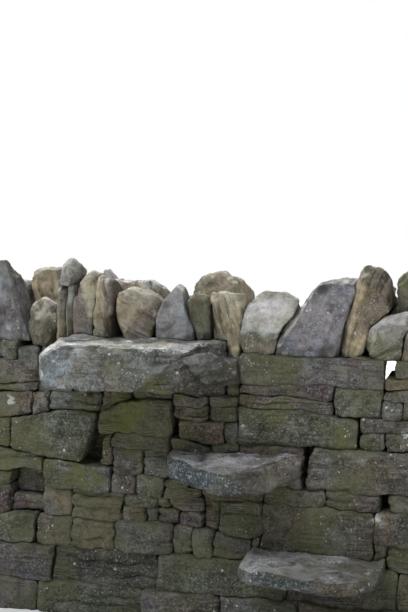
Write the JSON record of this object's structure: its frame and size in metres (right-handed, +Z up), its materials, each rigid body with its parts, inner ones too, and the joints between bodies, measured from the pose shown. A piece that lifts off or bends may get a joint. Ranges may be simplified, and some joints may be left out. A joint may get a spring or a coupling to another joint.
{
  "type": "dry stone wall with a step stile",
  "caption": "Free-standing length of battered dry stone wall with through-stone steps on both faces, coursed walling, a packed core, wall heads and a cope of stones on edge.",
  "frame": {"origin": "middle of the wall's length and thickness, at ground level", "axes": "+X along the wall to the right of the pictured face, +Z up; that face looks to -Y"},
  "size_m": [3.2, 1.15, 1.2893],
  "materials": {
    "walling_stone": "rough gritstone",
    "hearting_stone": "broken rubble",
    "cope_stone": "weathered, lichened",
    "step_stone": "worn flagstone"
  },
  "bodies": {
    "root": {"cope_arch": "cope_stone", "cope_banded": "cope_stone", "cope_big_dark": "cope_stone", "cope_dark_round": "cope_stone", "cope_fluted": "cope_stone", "cope_green_back": "cope_stone", "cope_knob": "cope_stone", "cope_leaning_slab": "cope_stone", "cope_left_run": "cope_stone", "cope_pale": "cope_stone", "cope_pale_slip": "cope_stone", "cope_ridge": "cope_stone", "cope_right_pair": "cope_stone", "cope_right_run": "cope_stone", "cope_rounded_brown": "cope_stone", "cope_smooth_triangle": "cope_stone", "cope_tall_tan": "cope_stone", "cope_tan_back": "cope_stone", "cope_wedge": "cope_stone", "front_course_10": "walling_stone", "front_course_2": "walling_stone", "front_course_3": "walling_stone", "front_course_4": "walling_stone", "front_course_5": "walling_stone", "front_course_6": "walling_stone", "front_course_7": "walling_stone", "front_course_8": "walling_stone", "front_course_9": "walling_stone", "front_footings": "walling_stone", "hearting": "hearting_stone", "left_head_runners": "walling_stone", "left_head_ties": "walling_stone", "lower_step": "step_stone", "middle_step": "step_stone", "rear_course_10": "walling_stone", "rear_course_2": "walling_stone", "rear_course_3": "walling_stone", "rear_course_4": "walling_stone", "rear_course_5": "walling_stone", "rear_course_6": "walling_stone", "rear_course_7": "walling_stone", "rear_course_8": "walling_stone", "rear_course_9": "walling_stone", "rear_footings": "walling_stone", "right_head_runners": "walling_stone", "right_head_ties": "walling_stone", "upper_step": "step_stone", "upper_step_bearer": "step_stone"}
  },
  "joints": []
}
